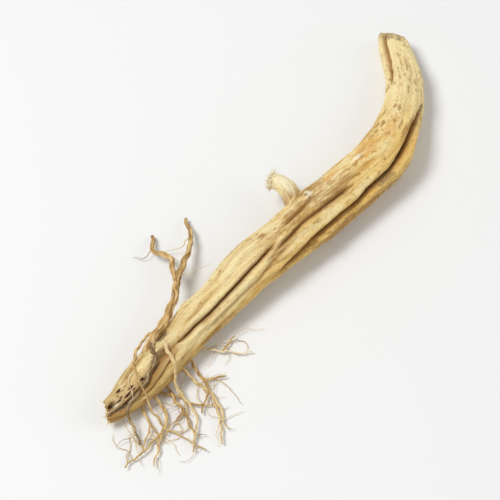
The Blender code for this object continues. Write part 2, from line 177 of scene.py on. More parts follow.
stub = dict(
    name="broken_side_root",
    rows=(
        (9.6, -9, 6.6, 3.2), (9.9, -5, 7, 2.8), (11, -2, 7.5, 2.3), (12, 0.6, 7.7, 2.1),
        (12.1, 3.2, 7.5, 2), (11.4, 5.2, 7.3, 1.8),
    ),
    steps=9, around=64, drawnSides=14, ragged=0.7,
    # share of the radius or depth, run, pace, place in the noise
    ribs=(0.16, 9, 2.6, (0, 4)), creases=(0.22, 6, 4.5, (3, 0)), fine=(0.07, 1.3, 11, (0, 0)),
    creaseWidth=0.09, creaseLost=0.5, fineHeight=0.5,
    tear=((1, 2.2, 3), (0.6, 6, 8)), tearFrom=0.75, tearLength=1.4,  # share, pace, place
    grainStart=0.3,
    paleFrom=(0.6, 0.3), stainTo=(0.45, 0.4),  # share of the length, and how soft
    pale=0.6, palePatchy=0.5, stainPatchy=0.3,
    profile=((1, 0), (0.7, -0.5), (0.35, 0.2), (0, 0.1)),
)

sideRoots = dict(
    name="side_root", sides=36, steps=9, slimmer=0.86, tint=0.3,
    kink=dict(amount=0.45, reach=3, place=3, lowest=0.2), lumps=(5, 0.17, 2.2),  # place, share, run
    courses=(
        (
            (-44, -5.6, 5, 0.9), (-38.5, -3.4, 7.2, 1.1), (-33.5, -2.4, 7.6, 1.1), (-28.5, -0.6, 7.2, 1),
            (-24, 2.4, 6.2, 0.95), (-20, 5.2, 5.2, 0.85), (-15.5, 7, 4.2, 0.75), (-10.5, 10.6, 2.8, 0.6),
            (-7, 15.6, 1.2, 0.45),
        ),
        (
            (-23, 3.2, 5.9, 0.6), (-20.6, 6.4, 5.1, 0.75), (-18.4, 10.2, 4.2, 0.7),
            (-19, 14.4, 2.6, 0.6), (-15.6, 18, 1, 0.45),
        ),
    ),
)

rootlets = dict(
    name="rootlets",
    seed=11, sides=12, step=1.7, wander=24, drop=0.75, buckle=0.5, clearance=0.35, tip=0.42,
    farthest=(70, 30),  # from the middle of the root's box, along and across it
    starts=(-1.6, -0.2, 1),
    shootTurn=50, shootLength=0.45, shootThickness=0.8,
    kink=dict(amount=0.34, reach=1.9, place=1, lowest=0.3), slimmer=0.8,
    lumps=(2, 0.24, 1.3),  # place, share, run
    # (run, angle, lift) over the tail, then heading, length, thickness
    creepers=(
        (
            ((23, 58, -0.6), (19, 94, 0.3), (17.8, 127, 0.3), (16.6, 151, 0.4), (15.4, 183, 0.5)),
            230, 18, 1.2,
        ),
        (((20, 44, -0.5), (17, 65, 0.2), (14.8, 95, 0.3), (9.4, 124, 0.4), (4.1, 152, 0.4)), 218, 10, 1.5),
        (((24, 48, -0.5), (19, 29, 1.8), (12, 43, 0.4), (9.4, 90, 0.3), (8.2, 161, 0.4)), 225, 20, 0.9),
    ),
    creeperTints=(0.75, -1, 0.4),  # the second is the colour of earth
    # run, angle, heading, length, thickness
    free=(
        (22, 213, 262, 15, 1.1), (19, 204, 296, 21, 1.1), (14, 220, 250, 17, 1), (10, 206, 240, 22, 1.1),
        (7, 238, 226, 12, 0.9), (12, 228, 283, 15, 0.9), (26, 230, 312, 12, 0.9),
    ),
)

hairs = dict(
    name="root_hairs",
    seed=23, each=3, length=(3, 10), thickness=(0.16, 0.3), step=0.9, wander=38, drop=0.35, sides=6,
    places=(0.3, 0.98), buckle=0.4, tip=0.35, noisePlace=60,
    farthest=(62, 24),  # within the solid's box
)

fibres = dict(
    name="torn_fibres", seed=31,
    # share of the root's length, number, lengths, which way they point
    ends=((0, 46, (0.4, 1.5), -1), (1, 20, (0.3, 0.8), 1)),
    stub=190, stubLength=(0.5, 2.6),
    thickness=(0.1, 0.24), sides=5, steps=5, tip=0.4, noisePlace=90,
    sunk=0.3, stubSunk=0.5, lowest=0.1, stubReach=0.95,
    outward=0.35, stubOutward=0.7, spread=0.22, stubSpread=0.5,  # how far they lean and stray
    innermost=0.35, tints=(0.35, 0.9),
)

strandShape = dict(  # lumps and ridges of the thin roots: share, run, pace
    lump=(1.2, 1.2), ridge=(1.1, 3, 3.4),
    apart=(13, 3), uneven=0.3, lumpHeight=0.5,
)

kink = dict(start=2, waves=((1, 1, 0), (0.4, 0.4, 50)), axesApart=7)  # share, share of the reach, place

look = dict(
    azimuth=-47.5, elevation=60, distance=0.56, sensor=36,
    pixels=500, pixel=0.38 * mm,  # what one covers at the root, in the photograph's framing
    closer=1.65,  # how much closer this picture is
    middle=(-5.7 * mm, 3.3 * mm, 5 * mm),
)


def smoothCurve(rows, steps=24):  # the smooth curve through the given rows
    rows = np.array(rows, float)
    padded = np.vstack([2 * rows[0] - rows[1], rows, 2 * rows[-1] - rows[-2]])
    found = []
    for number in range(1, len(padded) - 2):
        before, start, end, after = padded[number - 1:number + 3]
        for share in np.arange(steps) / steps:
            found.append(0.5 * (
                2 * start + (end - before) * share
                + (2 * before - 5 * start + 4 * end - after) * share ** 2
                + (3 * start - before - 3 * end + after) * share ** 3
            ))
    return np.array(found + [rows[-1]])


def smoothStep(value):
    value = np.clip(value, 0, 1)
    return value * value * (3 - 2 * value)


def runsAlong(path):
    return np.concatenate([[0], np.cumsum(np.linalg.norm(np.diff(path, axis=0), axis=1))])


def turnBetween(first, second):
    return (first - second + 180) % 360 - 180


def unit(vectors):
    return vectors / np.linalg.norm(vectors, axis=-1, keepdims=True)


def noiseAt(x, y, z):  # the same noise as the solid's, for arrays
    x, y, z = np.broadcast_arrays(x, y, z)
    places = np.stack([x.ravel(), y.ravel(), z.ravel()], 1).tolist()
    return np.array([noise.noise(place) for place in places]).reshape(x.shape)


def bell(value):
    return np.exp(-value ** 2)


def grooveAcross(across, halfWidth):
    share = across / halfWidth
    valley = tapRoot["valley"] * bell(share)
    cleft = tapRoot["cleft"] * bell(across / (tapRoot["cleftWidth"] * halfWidth))
    lip = tapRoot["lip"] * bell((np.abs(share) - tapRoot["lipPlace"]) / tapRoot["lipWidth"])
    return valley + cleft - lip


class TapRoot:
    def __init__(self):
        rows = smoothCurve(tapRoot["spine"]) * mm
        self.halfWidths = rows[:, 3]
        heights = rows[:, 3] * tapRoot["heightShare"] + rows[:, 2]
        self.centres = np.column_stack([rows[:, 0], rows[:, 1], heights])
        self.runs = runsAlong(self.centres)
        self.length = self.runs[-1]
        self.grain = smoothCurve(tapRoot["grain"]) * (mm, 1)
        self.furrows = [
            (smoothCurve(course) * (mm, 1), depth * mm, halfWidth * mm, cracked)
            for course, depth, halfWidth, cracked in tapRoot["furrows"]
        ]

    def turn(self, run, angle):
        return np.radians(angle + np.interp(run, self.grain[:, 0], self.grain[:, 1]))

    def centre(self, run):
        return np.stack([np.interp(run, self.runs, self.centres[:, axis]) for axis in range(3)], -1)

    def halfWidth(self, run):
        return np.interp(run, self.runs, self.halfWidths)

    def tangent(self, run):
        reach = tapRoot["tangentReach"] * mm
        ahead = self.centre(np.minimum(run + reach, self.length))
        return unit(ahead - self.centre(np.maximum(run - reach, 0)))

    def across(self, run, angle, place):  # distance round the root from a place's angle
        return np.radians(turnBetween(angle, place)) * self.halfWidth(run)

    def furrow(self, run, angle, number, wobble=0):  # shares of depth, cleft and painted shade, full depth
        course, depth, halfWidth, cracked = self.furrows[number]
        first, last = course[0, 0], course[-1, 0]
        across = self.across(run, angle + wobble, np.interp(run, course[:, 0], course[:, 1]))
        fade = np.where((run >= first) & (run <= last), 1.0, 0.0)
        reach = tapRoot["furrowFade"] * mm
        if first > 0:
            fade = fade * smoothStep((run - first) / reach)
        if last < self.length:
            fade = fade * smoothStep((last - run) / reach)
        cleft = bell(across / (relief["cleftWidth"] * (0.5 + cracked) * halfWidth))
        shade = fade * bell(across / (relief["shadeWidth"] * halfWidth))
        return fade * grooveAcross(across, halfWidth), fade * cleft * cracked, shade, depth

    def furrowDepth(self, run, angle):
        total = 0
        for number in range(len(self.furrows)):
            share, _, _, depth = self.furrow(run, angle, number)
            total = total + depth * share
        return total

    def away(self, run, angle, place, turn, length, width):  # from a place, in its own length and width
        return np.hypot((run - place * mm) / length, self.across(run, angle, turn) / width) / mm

    def bumps(self, run, angle, places):
        total = 0
        for place, turn, height, radius in places:
            total = total + height * mm * bell(self.away(run, angle, place, turn, radius, radius))
        return total

    def uneven(self, run, angle, amount, reach, pace, place):
        x, y, z = place
        turn = self.turn(run, angle)
        return amount * noiseAt(run / (reach * mm) + x, pace * np.cos(turn) + y, pace * np.sin(turn) + z)

    def radius(self, run, angle):
        swelling, strands, wrinkles = (
            self.uneven(run, angle, *tapRoot[kind]) for kind in ("swelling", "strands", "wrinkles")
        )
        return (
            self.halfWidth(run) * (1 + swelling + strands)
            + wrinkles * mm
            + self.bumps(run, angle, tapRoot["knots"])
        )

    def point(self, run, angle, radius):
        tangent = self.tangent(run)
        side = unit(np.cross((0, 0, 1), tangent))
        up = np.cross(tangent, side)
        turn = self.turn(run, angle)
        flat = tapRoot["heightShare"]
        across = side * np.cos(turn)[..., None] + up * (np.sin(turn) * flat)[..., None]
        return self.centre(run) + across * radius[..., None]

    def lifted(self, run, angle, lift):  # one point off the plain surface, for what grows from it
        run, angle = np.array(run * mm), np.array(float(angle))
        radius = self.radius(run, angle) - self.furrowDepth(run, angle)
        return self.point(run, angle, radius + lift * mm)

    def slant(self, run, angle):
        turn = np.radians(angle)
        pace, place = tapRoot["raggedNoise"]
        ragged = noiseAt(pace * np.cos(turn), pace * np.sin(turn), place)
        tail = tapRoot["raggedTail"] * ragged - tapRoot["tailSlant"] * np.cos(turn)
        crown = tapRoot["raggedCrown"] * ragged + tapRoot["crownSlant"] * np.cos(turn)
        reach = tapRoot["slantReach"] * mm
        near = tail * smoothStep(1 - run / reach)
        return mm * (near + crown * smoothStep(1 - (self.length - run) / reach))


def placed(name, data, place=(0, 0, 0), back=None):  # lights and the camera look against the way back
    made = bpy.data.objects.new(name, data)
    made.location = place
    if back:
        made.rotation_euler = back.to_track_quat("Z", "Y").to_euler()
    bpy.context.scene.collection.objects.link(made)
    return made


class Surface:  # points in rows, closed round, with a number for each mask at each point
    def __init__(self):
        self.faces = []
        self.fields = {}
        self.count = 0

    def addRows(self, rows, grain, masks):
        shape = rows.shape[:2]
        fields = dict(point=rows, grain=grain)
        fields.update({name: np.broadcast_to(mask, shape) for name, mask in masks.items()})
        for name, field in fields.items():
            flat = field.reshape(-1, *field.shape[2:])
            self.fields.setdefault(name, []).extend([flat, *(field[row].mean(0)[None] for row in (0, -1))])
        numbers = self.count + np.arange(rows[..., 0].size).reshape(shape)
        after = np.roll(numbers, -1, axis=1)
        quads = np.stack([numbers[:-1], after[:-1], after[1:], numbers[1:]], -1).reshape(-1, 4)
        self.faces += quads.tolist()
        self.count += numbers.size
        for row, order in ((0, -1), (-1, 1)):  # closed at both ends
            ring = numbers[row].tolist()
            for first, second in zip(ring, ring[1:] + ring[:1]):
                self.faces.append((first, second, self.count)[::order])
            self.count += 1

    def piece(self, name, material):
        points = np.concatenate(self.fields.pop("point")) + (*(mm * v for v in tapRoot["shift"]), 0)
        mesh = bpy.data.meshes.new(name)
        mesh.from_pydata(points.tolist(), [], self.faces)
        for mask, values in self.fields.items():
            values = np.concatenate(values)
            kind, field = ("FLOAT_VECTOR", "vector") if values.ndim == 2 else ("FLOAT", "value")
            attribute = mesh.attributes.new(mask, kind, "POINT")
            attribute.data.foreach_set(field, values.astype(np.float32).ravel())
        mesh.materials.append(material)
        mesh.shade_smooth()
        made = placed(name, mesh)
        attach(made, "root")
        print(name, len(mesh.polygons), "faces")
        return made


def porePlaces(root, draw):  # run, angle and scale of each
    whole = root.length / mm
    places = []
    for _ in range(relief["pores"]):
        places.append((whole * draw.uniform(*relief["poreSpan"]), draw.uniform(0, 360), 1))
    reach = relief["groupReach"]
    for _ in range(relief["poreGroups"]):
        run, angle = whole * draw.uniform(*relief["groupSpan"]), draw.uniform(0, 360)
        for _ in range(relief["groupSize"]):
            degrees = math.degrees(draw.gauss(0, 0.5 * reach) * mm / root.halfWidth(run * mm))
            places.append((run + draw.gauss(0, reach), angle + degrees, relief["groupScale"]))
    return places


def addPits(masks, runs, angles, root, draw, rough):  # pores, and deep pits with near-black painted shade and a pale lip
    pore, spot, furrow, pale = masks
    pits = [(*pit, 1) for pit in relief["pits"]]
    for place, turn, scale in porePlaces(root, draw):
        length = scale * draw.uniform(*relief["poreLength"])
        width = scale * draw.uniform(*relief["poreWidth"])
        pits.append((place, turn, draw.uniform(*relief["poreDepth"]), length, width, draw.random() ** 2))
    for place, turn, depth, length, width, dark in pits:
        rows = np.abs(runs - place * mm) < 3 * length * mm
        away = root.away(runs[rows, None], angles[None], place, turn, length, width)
        away = away * (1 + relief["pitRagged"] * np.clip(rough[rows], *relief["pitRough"]))
        pore[rows] = np.maximum(pore[rows], depth * bell(away))
        reach, share = relief["halo"]
        spot[rows] = np.maximum(spot[rows], share * bell(away / reach) + (1 - share) * dark * bell(away))
        # painted shade, near black, inside the deep pits
        if depth > relief["hole"]:
            place, width, share = relief["pitLip"]
            furrow[rows] = np.maximum(furrow[rows], 2 * bell(away ** 2))
            pale[rows] = np.maximum(pale[rows], share * bell((away - place) / width))


def addCracks(crack, runs, angles, root, draw):
    for _ in range(relief["cracks"]):
        length = draw.uniform(*relief["crackLength"]) / 2 * mm
        width = draw.uniform(*relief["crackWidth"]) * mm
        place, turn = draw.uniform(*relief["crackSpan"]) * root.length, draw.uniform(0, 360)
        lean, bow = (draw.uniform(-most, most) for most in (relief["crackLean"], relief["crackBow"]))
        depth = draw.uniform(*relief["crackDepth"])
        rows = np.abs(runs - place) < length
        along = (runs[rows, None] - place) / length
        course = turn + lean * along + bow * along ** 2
        across = root.across(runs[rows, None], angles[None], course) / width
        crack[rows] = np.maximum(crack[rows], depth * (1 - along ** 2) * bell(across))


def patchAway(run, angle, place, turn, length, degrees):  # from a patch's middle, in its own reach
    return np.hypot((run - place * mm) / (length * mm), turnBetween(angle, turn) / degrees)


def patches(run, angle, places, rough):  # soft-edged ragged areas, as shares
    edge, soft = relief["patchEdge"]
    total = np.zeros_like(run)
    for patch in places:
        away = patchAway(run, angle, *patch)
        total = np.maximum(total, smoothStep((edge - away + rough) / soft))
    return total


def flakesOn(run, angle, rough):  # height of the peeled bark
    edge, soft, ragged = relief["flakeEdge"]
    total = np.zeros_like(run)
    for *patch, high in relief["flakes"]:
        away = patchAway(run, angle, *patch)
        total = np.maximum(total, high * smoothStep((edge - away - ragged * rough) / soft))
    return total


def endRows(rim, grain, outward, sign, profile, seed):  # rows that close a torn end
    shares = np.linspace(1, tornEnd["innermost"], tornEnd["rings"] + 1)[1:]
    out = np.interp(shares, *zip(*sorted(profile))) * mm
    middle, middleGrain = rim.mean(0), grain.mean(0)
    across = rim - middle
    rows = middle + across * shares[:, None, None]
    grains = middleGrain + (grain - middleGrain) * shares[:, None, None]
    sized = across / np.linalg.norm(across, axis=1).mean()
    y, z = sized[:, 1] * shares[:, None], sized[:, 2] * shares[:, None]
    torn = sum(
        amount * noiseAt(pace * y, pace * z, seed + place) for amount, pace, place in tornEnd["waves"]
    )
    out = out[:, None] + torn * mm * smoothStep((1 - shares) / tornEnd["rim"])[:, None]
    rows = rows + out[..., None] * outward
    grains[..., 0] += sign * out
    return rows, grains, shares


def furrowsOn(root, runs, run, angle):  # depth of all the furrows, and how dark their painted shade is
    depth, furrow = np.zeros((2, *run.shape))
    for number in range(len(root.furrows)):
        wobble = sum(
            degrees * noiseAt(runs / (reach * mm) + x, y, relief["furrowApart"] * number)
            for degrees, reach, x, y in relief["furrowWobble"]
        )
        share, cleft, shade, full = root.furrow(run, angle, number, wobble[:, None])
        depth += full * (share + relief["clefts"] * cleft)
        dark = np.clip(relief["shadeDark"] * shade + relief["cleftDark"] * cleft, 0, relief["darkest"])
        furrow = np.maximum(furrow, dark * min(full / (relief["darkDepth"] * mm), 1))
    return depth, furrow


def creasesOn(root, run, angle):  # height of the creases, and the narrow ones alone, which get painted shade
    share, *waves = relief["creaseGate"]
    place, reach, more = relief["creaseRich"]
    rich = more * bell((run / mm - place) / reach)
    gate = smoothStep(share + rich + root.uneven(run, angle, *waves))
    place, reach, lost = relief["smoothHook"]
    gate = gate * (1 - lost * smoothStep((run / mm - place) / reach))
    height, crease = np.zeros((2, *run.shape))
    for amount, width, *waves in relief["creases"]:
        line = bell(root.uneven(run, angle, 1, *waves) / width) * gate
        height -= amount * line
        crease = np.maximum(crease, amount * line * (width < relief["narrow"]))
    return height, crease


def closedEnds(root, rows, grain, masks):  # the rows with both torn ends, and their masks
    near = endRows(rows[0], grain[0], -root.tangent(0.0), -1, tapRoot["tailProfile"], 2)
    far = endRows(rows[-1], grain[-1], root.tangent(root.length), 1, tapRoot["crownProfile"], 8)
    ends = []
    for (endRow, _, shares), rim in ((near, 0), (far, -1)):
        inward = 1 - shares[:, None]
        fading = np.clip(1 - inward / tornEnd["barkFade"], 0, 1)
        ends.append({name: mask[rim] * fading for name, mask in masks.items()})
        ends[-1]["cut"] = np.broadcast_to(smoothStep(inward / tornEnd["cut"]), endRow.shape[:2])
    tail, crown = ends
    rows = np.concatenate([near[0][::-1], rows, far[0]])
    rows[..., 2] = np.maximum(rows[..., 2], 0)
    grain = np.concatenate([near[1][::-1], grain, far[1]])
    masks = {name: np.concatenate([tail[name][::-1], mask, crown[name]]) for name, mask in masks.items()}
    return rows, grain, masks


def tapRootPiece(root, material):
    draw = random.Random(relief["seed"])
    runs = np.linspace(0, root.length, tapRoot["rings"])
    angles = np.arange(tapRoot["around"]) * 360 / tapRoot["around"]
    run, angle = np.meshgrid(runs, angles, indexing="ij")
    turn = root.turn(run, angle)
    depth, furrow = furrowsOn(root, runs, run, angle)
    height, crease = creasesOn(root, run, angle)
    height += sum(root.uneven(run, angle, *waves) for waves in relief["fine"])

    rough = sum(root.uneven(run, angle, *waves) for waves in relief["rough"])
    pore, spot, crack, pale = np.zeros((4, *run.shape))
    addPits((pore, spot, furrow, pale), runs, angles, root, draw, rough)
    addCracks(crack, runs, angles, root, draw)
    stains = ("cork", "soil", "wash", "blush", "cream")
    masks = {name: patches(run, angle, relief[name], rough) for name in stains}
    # painted shade along the near furrow
    furrow = np.maximum(furrow, patches(run, angle, relief["gloom"], relief["gloomRagged"] * rough))
    flake = flakesOn(run, angle, rough)
    gritty = relief["corkGrit"] * masks["cork"] + relief["soilGrit"] * masks["soil"]
    height += flake + gritty * root.uneven(run, angle, *relief["grit"]) - pore - crack

    radius = root.radius(run, angle) - depth + height * mm
    radius = radius + root.bumps(run, angle, [relief["collar"]])
    rows = root.point(run, angle, radius) + root.tangent(runs)[:, None] * root.slant(run, angle)[..., None]
    grain = grainRound(run, (np.cos(turn), np.sin(turn)), radius)
    (shadedStart, shadedSoft), (shadedEnd, endSoft) = relief["shadedFrom"], relief["shadedTo"]
    # these masks also carry painted light: shade in the furrows, creases and low relief, highlight on
    # raised relief, and shade on the near flank and underside
    masks.update(
        furrow=furrow, crease=crease / relief["fullCrease"], height=height / relief["fullHeight"],
        pore=np.maximum(spot, crack / relief["fullCrack"]),
        pale=np.maximum(pale, relief["flakePale"] * np.clip(flake / relief["fullFlake"], 0, 1)),
        warm=smoothStep((angle - shadedStart) / shadedSoft) * smoothStep((shadedEnd - angle) / endSoft),
        cut=np.zeros_like(run),
    )
    surface = Surface()
    surface.addRows(*closedEnds(root, rows, grain, masks))
    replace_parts(surface.piece(tapRoot["name"], material), "behen_root")


def framesAlong(path):  # two directions across a path, carried along it without twist
    tangents = unit(np.gradient(path, axis=0))
    start = np.cross(tangents[0], (0, 0, 1))
    sides = [unit(start if np.linalg.norm(start) > 0.1 else np.array((1.0, 0, 0)))]
    for tangent in tangents[1:]:
        sides.append(unit(sides[-1] - tangent * (sides[-1] @ tangent)))
    sides = np.array(sides)
    return tangents, sides, np.cross(tangents, sides)


def circle(sides):
    turn = np.arange(sides) * 2 * math.pi / sides
    return np.cos(turn)[None], np.sin(turn)[None]


def noiseRound(run, ring, reach, pace, place):
    (cosine, sine), (y, z) = ring, place
    return noiseAt(run / (reach * mm), pace * cosine + y, pace * sine + z)


def ringsAlong(path, side, up, ring, radius):
    cosine, sine = (part[..., None] for part in ring)
    return path[:, None] + (side[:, None] * cosine + up[:, None] * sine) * radius[..., None]


def grainRound(run, ring, radius, along=0, across=0):
    cosine, sine = ring
    run = np.broadcast_to(run + along, radius.shape)
    return np.stack([run, radius * cosine, radius * sine + across], -1)


def addStrand(surface, path, radii, sides, place, tint, lump=0, lumpReach=1):
    _, side, up = framesAlong(path)
    run = runsAlong(path)[:, None]
    ring = circle(sides)
    lumpShare, lumpPace = strandShape["lump"]
    ridgeShare, *waves = strandShape["ridge"]
    wave = noiseRound(run, ring, lumpReach, lumpPace, (place, 0))
    ridge = noiseRound(run, ring, *waves, (0, place))
    radius = radii[:, None] * (1 + lump * (lumpShare * wave + ridgeShare * ridge))
    rows = ringsAlong(path, side, up, ring, radius)
    rows[..., 2] = np.maximum(rows[..., 2], 0)
    along, across = (place * apart * mm for apart in strandShape["apart"])
    # height drives painted highlight and painted shade in the skin's colour
    masks = dict(height=strandShape["lumpHeight"] * wave + ridge, tint=tint + strandShape["uneven"] * wave)
    surface.addRows(rows, grainRound(run, ring, radius, along, across), masks)


def kinked(path, number, amount, reach, place, lowest):  # bent a little at each small stretch
    run = runsAlong(path)
    away = smoothStep(run / (kink["start"] * mm))[:, None]
    axes = [kink["axesApart"] * axis for axis in range(3)]
    for share, finer, apart in kink["waves"]:
        bend = [noiseAt(run / (finer * reach * mm), place + number + apart, axis) for axis in axes]
        path = path + away * share * np.stack(bend, -1) * amount * mm
    path[:, 2] = np.maximum(path[:, 2], lowest * mm)
    return path


def stubPiece(draw, material):
    rows = smoothCurve(stub["rows"], steps=2) * mm
    for _ in range(stub["drawnSides"]):  # the solid draws its ragged rim here
        draw.uniform(-stub["ragged"], stub["ragged"])
    rows = smoothCurve(rows, steps=stub["steps"])
    path, radii = rows[:, :3], rows[:, 3]
    tangents, side, up = framesAlong(path)
    run = runsAlong(path)[:, None]
    cosine, sine = ring = circle(stub["around"])
    far = run / run[-1]

    ribShare, *waves = stub["ribs"]
    ribs = noiseRound(run, ring, *waves)
    creaseDepth, *waves = stub["creases"]
    creases = bell(noiseRound(run, ring, *waves) / stub["creaseWidth"])
    fineDepth, *waves = stub["fine"]
    fine = noiseRound(run, ring, *waves)
    radius = radii[:, None] * (1 + ribShare * ribs) + (fineDepth * fine - creaseDepth * creases) * mm
    torn = sum(share * noiseAt(pace * cosine, pace * sine, place) for share, pace, place in stub["tear"])
    torn = torn * smoothStep((far - stub["tearFrom"]) / (1 - stub["tearFrom"]))
    rows = ringsAlong(path, side, up, ring, radius)
    rows = rows + tangents[:, None] * torn[..., None] * stub["tearLength"] * mm
    grain = grainRound(run, ring, radius, stub["grainStart"])
    ends, endGrain, _ = endRows(rows[-1], grain[-1], tangents[-1], 1, stub["profile"], 4)

    (paleStart, paleSoft), (stainEnd, stainSoft) = stub["paleFrom"], stub["stainTo"]
    pale = stub["pale"] * smoothStep((far - paleStart + stub["palePatchy"] * ribs) / paleSoft)
    stained = 1 - smoothStep((far - stainEnd) / stainSoft) + stub["stainPatchy"] * ribs
    masks = dict.fromkeys(bark["masks"], np.zeros_like(radius))
    masks.update(
        # the creases and fine relief here get painted shade and painted highlight through the bark's masks
        crease=creases * (1 - stub["creaseLost"] * far), wash=stained, pale=pale,
        height=fine * stub["fineHeight"],
    )
    shape = ends.shape[:2]
    masks = {name: np.concatenate([mask, np.broadcast_to(mask[-1], shape)]) for name, mask in masks.items()}
    surface = Surface()
    surface.addRows(np.concatenate([rows, ends]), np.concatenate([grain, endGrain]), masks)
    surface.piece(stub["name"], material)
    return path, radii


def lumpyPiece(kind, courses, material):  # thin roots, each given by its path, radii and tint
    surface = Surface()
    paths = []
    for number, (path, radii, tint) in enumerate(courses):
        path = kinked(path, number, **kind["kink"])
        place, *lumps = kind["lumps"]
        addStrand(surface, path, radii * kind["slimmer"], kind["sides"], place + number, tint, *lumps)
        paths.append(path)
    surface.piece(kind["name"], material)
    return paths


def sideRootPiece(material):
    courses = []
    for course in sideRoots["courses"]:
        rows = smoothCurve(smoothCurve(course, steps=3), steps=sideRoots["steps"]) * mm
        courses.append((rows[:, :3], rows[:, 3], sideRoots["tint"]))
    return lumpyPiece(sideRoots, courses, material)


def wandering(kind, points, heading, length, lowest, draw):  # carried on along a heading, as in the solid
    step = kind["step"] * mm
    for _ in range(int(length / step)):
        heading += draw.uniform(-kind["wander"], kind["wander"])
        turn = math.radians(heading)
        point = points[-1] + Vector((math.cos(turn), math.sin(turn), -kind["drop"])) * step
        point.z = max(lowest, point.z) + draw.uniform(0, kind["buckle"] * mm)
        places = zip(point[:2], tapRoot["shift"], kind["farthest"])
        if any(abs(place / mm + shift) > farthest for place, shift, farthest in places):
            break
        points.append(point)
    return points


def rootletPath(points, heading, length, thickness, draw):
    lowest = (thickness / 2 + rootlets["clearance"]) * mm
    points = [Vector((x, y, max(z, lowest))) for x, y, z in points]
    return wandering(rootlets, points, heading, length * mm, lowest, draw)


def rootletPiece(root, draw, material):
    courses = []  # points and thickness of each
    for course, heading, length, thickness in rootlets["creepers"]:
        places = smoothCurve([root.lifted(*place) for place in course], steps=3)
        courses.append((rootletPath(places, heading, length, thickness, draw), thickness))
    tints = list(rootlets["creeperTints"])
    for run, angle, heading, length, thickness in rootlets["free"]:
        places = [root.lifted(run, angle, lift) for lift in rootlets["starts"]]
        points = rootletPath(places, heading, length, thickness, draw)
        courses.append((points, thickness))
        bend = heading + draw.choice((-rootlets["shootTurn"], rootlets["shootTurn"]))
        shorter, slimmer = rootlets["shootLength"] * length, rootlets["shootThickness"] * thickness
        courses.append((rootletPath([points[len(points) // 2]], bend, shorter, slimmer, draw), slimmer))
    tints += [random.Random(number).random() for number in range(len(tints), len(courses))]
    strands = []
    for (points, thickness), tint in zip(courses, tints):
        path = smoothCurve(points, steps=7)
        strands.append((path, thickness / 2 * mm * np.linspace(1, rootlets["tip"], len(path)), tint))
    return lumpyPiece(rootlets, strands, material)


def hairPiece(paths, material):
    draw = random.Random(hairs["seed"])
    surface = Surface()
    for number, path in enumerate(paths):
        for _ in range(hairs["each"]):
            start = path[int(len(path) * draw.uniform(*hairs["places"]))]
            thickness, heading = draw.uniform(*hairs["thickness"]) * mm, draw.uniform(0, 360)
            length = draw.uniform(*hairs["length"]) * mm
            points = wandering(hairs, [Vector(start)], heading, length, thickness, draw)
            if len(points) < 3:
                continue
            line = smoothCurve(points, steps=4)
            radii = np.linspace(1, hairs["tip"], len(line)) * thickness / 2
            addStrand(surface, line, radii, hairs["sides"], hairs["noisePlace"] + number, draw.random())
    surface.piece(hairs["name"], material)


def addFibre(surface, draw, start, outward, length, spread, tint):
    points = [start]
    aim = outward.copy()
    for _ in range(fibres["steps"]):
        aim = unit(aim + spread * np.array([draw.gauss(0, 1) for _ in range(3)]))
        points.append(points[-1] + aim * length / fibres["steps"])
    line = smoothCurve(points, steps=3)
    line[:, 2] = np.maximum(line[:, 2], fibres["lowest"] * mm)
    radii = np.linspace(1, fibres["tip"], len(line)) * draw.uniform(*fibres["thickness"]) / 2 * mm
    addStrand(surface, line, radii, fibres["sides"], fibres["noisePlace"], tint)


def fibrePiece(root, stubPath, stubRadii, material):
    draw = random.Random(fibres["seed"])
    surface = Surface()
    for place, many, lengths, sign in fibres["ends"]:
        run = np.array(place * root.length)
        tangent = root.tangent(run)
        for _ in range(many):
            angle = np.array(draw.uniform(0, 360))
            share = math.sqrt(draw.uniform(fibres["innermost"], 1))
            rim = root.radius(run, angle) - root.furrowDepth(run, angle)
            start = root.point(run, angle, rim * share) + tangent * root.slant(run, angle)
            start = start - tangent * sign * fibres["sunk"] * mm
            outward = unit(sign * tangent + fibres["outward"] * unit(start - root.centre(run)))
            length = draw.uniform(*lengths) * mm
            tint = draw.uniform(*fibres["tints"])
            addFibre(surface, draw, start, outward, length, fibres["spread"], tint)
    tangents, side, up = framesAlong(stubPath)
    for _ in range(fibres["stub"]):
        turn, share = draw.uniform(0, 2 * math.pi), math.sqrt(draw.random())
        ray = side[-1] * math.cos(turn) + up[-1] * math.sin(turn)
        start = stubPath[-1] + ray * stubRadii[-1] * fibres["stubReach"] * share
        start = start - tangents[-1] * fibres["stubSunk"] * mm
        outward = unit(tangents[-1] + fibres["stubOutward"] * share * ray)
        length = draw.uniform(*fibres["stubLength"]) * mm
        addFibre(surface, draw, start, outward, length, fibres["stubSpread"], 1)
    surface.piece(fibres["name"], material)


def tone(red, green, blue):  # a screen colour as the shader's
    shares = [value / 255 for value in (red, green, blue)]
    return (*(v / 12.92 if v <= 0.04045 else ((v + 0.055) / 1.055) ** 2.4 for v in shares), 1)


class Field:  # a socket whose sums are written as expressions
    def __init__(self, sheet, socket):
        self.sheet, self.socket = sheet, socket

    def __add__(self, other):
        return self.sheet.sum("ADD", self, other)

    def __radd__(self, other):
        return self.sheet.sum("ADD", other, self)

    def __sub__(self, other):
        return self.sheet.sum("SUBTRACT", self, other)

    def __rsub__(self, other):
        return self.sheet.sum("SUBTRACT", other, self)

    def __mul__(self, other):
        return self.sheet.sum("MULTIPLY", self, other)

    def __rmul__(self, other):
        return self.sheet.sum("MULTIPLY", other, self)


